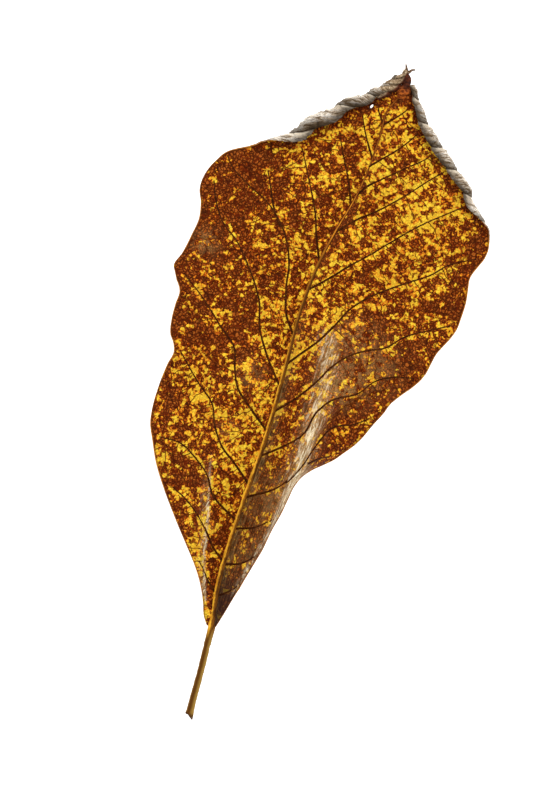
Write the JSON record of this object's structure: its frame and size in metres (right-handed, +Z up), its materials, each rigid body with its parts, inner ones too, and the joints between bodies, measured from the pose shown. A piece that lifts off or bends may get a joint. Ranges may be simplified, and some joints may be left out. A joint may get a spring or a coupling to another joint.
{
  "type": "walnut leaf",
  "caption": "Dried walnut leaf lying face up on its stalk end and margins, with a folded base, waved edges and rolled margins near the tip.",
  "frame": {"origin": "middle of the leaf's box, on the surface that the leaf lies on", "axes": "+Y from the stalk's cut end to the blade's tip, +Z up out of the leaf's upper face, +X towards the blade's right half"},
  "size_m": [0.0648, 0.1517, 0.0107],
  "materials": {
    "dried_leaf": "dry and matt with a faint sheen on the folds"
  },
  "bodies": {
    "root": {"leaf": "dried_leaf"}
  },
  "joints": []
}
